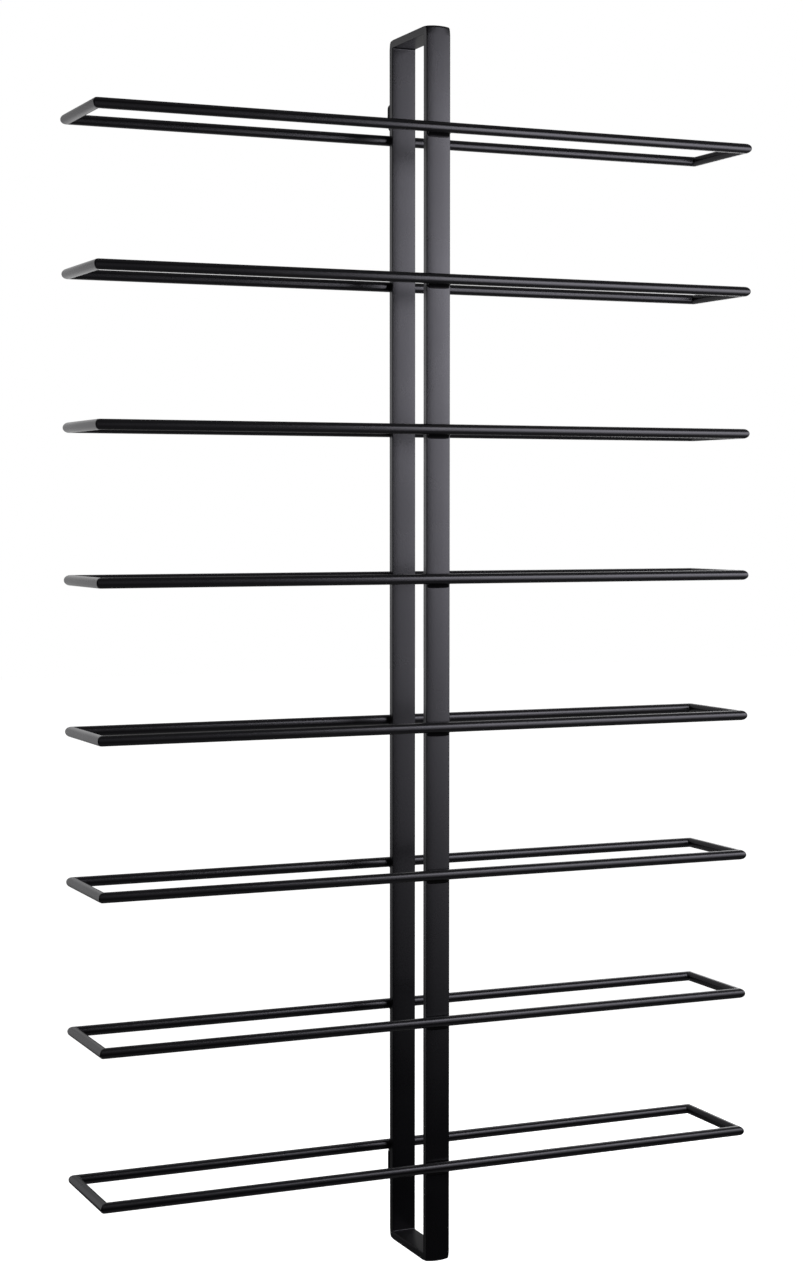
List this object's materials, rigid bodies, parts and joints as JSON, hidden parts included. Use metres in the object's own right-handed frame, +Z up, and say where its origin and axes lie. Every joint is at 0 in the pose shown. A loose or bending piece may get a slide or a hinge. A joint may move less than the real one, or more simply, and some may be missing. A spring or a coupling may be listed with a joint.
{
  "type": "wall rack",
  "caption": "Wall rack: a tall narrow upright of flat bar carrying level rectangular loops of round rod, hung from keyhole hangers on its back.",
  "frame": {"origin": "where the shank of the upper wall screw sits: on the wall plane, at the top of the upper keyhole, midway across the rack", "axes": "+X along the rods to the right seen from the room, +Y into the wall, +Z up; the rack lies in front of the wall plane, at negative y"},
  "size_m": [0.69, 0.11, 1.2],
  "materials": {
    "black_paint": "satin black powder coat on steel"
  },
  "bodies": {
    "root": {"upright_front_leg": "black_paint", "upright_rear_leg": "black_paint", "upright_top_bar": "black_paint", "upright_bottom_bar": "black_paint", "loop_1_front_rod": "black_paint", "loop_1_rear_rod": "black_paint", "loop_1_left_rod": "black_paint", "loop_1_right_rod": "black_paint", "loop_2_front_rod": "black_paint", "loop_2_rear_rod": "black_paint", "loop_2_left_rod": "black_paint", "loop_2_right_rod": "black_paint", "loop_3_front_rod": "black_paint", "loop_3_rear_rod": "black_paint", "loop_3_left_rod": "black_paint", "loop_3_right_rod": "black_paint", "loop_4_front_rod": "black_paint", "loop_4_rear_rod": "black_paint", "loop_4_left_rod": "black_paint", "loop_4_right_rod": "black_paint", "loop_5_front_rod": "black_paint", "loop_5_rear_rod": "black_paint", "loop_5_left_rod": "black_paint", "loop_5_right_rod": "black_paint", "loop_6_front_rod": "black_paint", "loop_6_rear_rod": "black_paint", "loop_6_left_rod": "black_paint", "loop_6_right_rod": "black_paint", "loop_7_front_rod": "black_paint", "loop_7_rear_rod": "black_paint", "loop_7_left_rod": "black_paint", "loop_7_right_rod": "black_paint", "loop_8_front_rod": "black_paint", "loop_8_rear_rod": "black_paint", "loop_8_left_rod": "black_paint", "loop_8_right_rod": "black_paint", "upper_hanger": "black_paint", "lower_hanger": "black_paint"}
  },
  "joints": []
}
